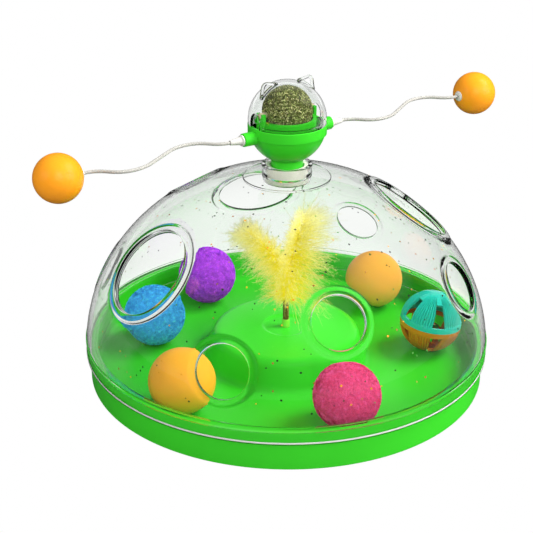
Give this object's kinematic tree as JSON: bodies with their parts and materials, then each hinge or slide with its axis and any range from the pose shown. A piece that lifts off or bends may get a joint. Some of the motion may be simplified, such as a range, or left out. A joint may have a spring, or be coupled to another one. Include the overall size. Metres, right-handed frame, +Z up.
{
  "type": "windmill cat toy",
  "caption": "Round cat toy: a tray with rolling balls and a feather under a clear dome with paw holes, and a windmill on top with a catnip ball and end balls on bent wires.",
  "frame": {"origin": "middle of the round base, on the surface that the toy stands on", "axes": "+Z up along the windmill's axis, +X to the right and +Y away in the pictured view, with the arms at 34 degrees from +X"},
  "size_m": [0.2736, 0.2552, 0.1892],
  "materials": {
    "green_plastic": "smooth moulded plastic",
    "clear_plastic": "clear glossy plastic",
    "socket_plastic": "translucent soft plastic",
    "pad_rubber": "matte",
    "tube_plastic": "satin",
    "feather_down": "fluffy down",
    "cream_plastic": "satin",
    "plated_steel": "bright plated",
    "white_rubber": "soft matte",
    "coated_wire": "off-white coating",
    "amber_plastic": "glossy",
    "pressed_catnip": "pressed dry leaves",
    "axle_plastic": "satin",
    "purple_plush": "short plush pile",
    "blue_plush": "short plush pile",
    "pink_plush": "short plush pile",
    "orange_plastic": "satin",
    "teal_plastic": "glossy",
    "brown_amber_plastic": "glossy",
    "bell_brass": "polished"
  },
  "bodies": {
    "base": {"base_tray": "green_plastic", "rubber_pads": "pad_rubber", "feather_socket": "socket_plastic"},
    "feather": {"feather_tube": "tube_plastic", "plume_left": "feather_down", "plume_right": "feather_down"},
    "dome": {"dome_shell": "clear_plastic", "bearing_bush": "cream_plastic"},
    "windmill": {"rotor_bowl": "green_plastic", "thrust_washer": "cream_plastic", "retaining_washer": "plated_steel", "spindle_screw": "plated_steel", "catnip_cradle": "green_plastic", "arm_boot_left": "white_rubber", "arm_boot_right": "white_rubber"},
    "catnip": {"catnip_ball": "pressed_catnip", "catnip_axle": "axle_plastic"},
    "cover": {"cat_ear_cover": "clear_plastic"},
    "arm_left": {"arm_wire_left": "coated_wire", "ball_grommet_left": "white_rubber", "arm_ball_left": "amber_plastic"},
    "arm_right": {"arm_wire_right": "coated_wire", "ball_grommet_right": "white_rubber", "arm_ball_right": "amber_plastic"},
    "ball_purple": {"plush_ball_purple": "purple_plush"},
    "ball_blue": {"plush_ball_blue": "blue_plush"},
    "ball_pink": {"plush_ball_pink": "pink_plush"},
    "ball_front": {"plain_ball_front": "orange_plastic"},
    "ball_back": {"plain_ball_back": "orange_plastic"},
    "bell_ball": {"bell_ball_upper": "teal_plastic", "bell_ball_lower": "brown_amber_plastic"},
    "jingle": {"jingle_bell": "bell_brass"},
    "clapper": {"bell_clapper": "plated_steel"}
  },
  "joints": [
    {"name": "dome_lift", "type": "slide", "parent": "base", "child": "dome", "axis": [0, 0, 1], "range_m": [0, 0.05]},
    {"name": "windmill_spin", "type": "hinge", "parent": "dome", "child": "windmill", "pos_m": [0, 0, 0.134], "axis": [0, 0, 1], "continuous": true},
    {"name": "catnip_spin", "type": "hinge", "parent": "windmill", "child": "catnip", "pos_m": [0, 0, 0.1697], "axis": [0.829, 0.5592, 0], "continuous": true},
    {"name": "cover_lift", "type": "slide", "parent": "windmill", "child": "cover", "axis": [0, 0, 1], "range_m": [0, 0.04]},
    {"name": "arm_right_flex", "type": "hinge", "parent": "windmill", "child": "arm_right", "pos_m": [0.0315, 0.02125, 0.1569], "axis": [0.5592, -0.829, 0], "range_deg": [-10, 10], "stiffness_Nm_per_rad": 0.9},
    {"name": "arm_left_flex", "type": "hinge", "parent": "windmill", "child": "arm_left", "pos_m": [-0.0315, -0.02125, 0.1569], "axis": [-0.5592, 0.829, 0], "range_deg": [-10, 10], "stiffness_Nm_per_rad": 0.9},
    {"name": "feather_pull", "type": "slide", "parent": "base", "child": "feather", "axis": [0, 0, 1], "range_m": [0, 0.008]},
    {"name": "bell_ball_roll", "type": "hinge", "parent": "base", "child": "bell_ball", "pos_m": [0, 0, 0.0062], "axis": [0, 0, 1], "range_deg": [-23, 9.3]},
    {"name": "back_ball_roll", "type": "hinge", "parent": "base", "child": "ball_back", "pos_m": [0, 0, 0.0062], "axis": [0, 0, 1], "range_deg": [-9.3, 25.5]},
    {"name": "purple_ball_roll", "type": "hinge", "parent": "base", "child": "ball_purple", "pos_m": [0, 0, 0.0062], "axis": [0, 0, 1], "range_deg": [-26, 9.9]},
    {"name": "blue_ball_roll", "type": "hinge", "parent": "base", "child": "ball_blue", "pos_m": [0, 0, 0.0062], "axis": [0, 0, 1], "range_deg": [-9.9, 16]},
    {"name": "front_ball_roll", "type": "hinge", "parent": "base", "child": "ball_front", "pos_m": [0, 0, 0.0062], "axis": [0, 0, 1], "range_deg": [-16, 18.5]},
    {"name": "pink_ball_roll", "type": "hinge", "parent": "base", "child": "ball_pink", "pos_m": [0, 0, 0.0062], "axis": [0, 0, 1], "range_deg": [-18.5, 23]},
    {"name": "jingle_hop", "type": "slide", "parent": "bell_ball", "child": "jingle", "axis": [0, 0, 1], "range_m": [0, 0.012]},
    {"name": "clapper_hop", "type": "slide", "parent": "jingle", "child": "clapper", "axis": [0, 0, 1], "range_m": [0, 0.006]}
  ]
}
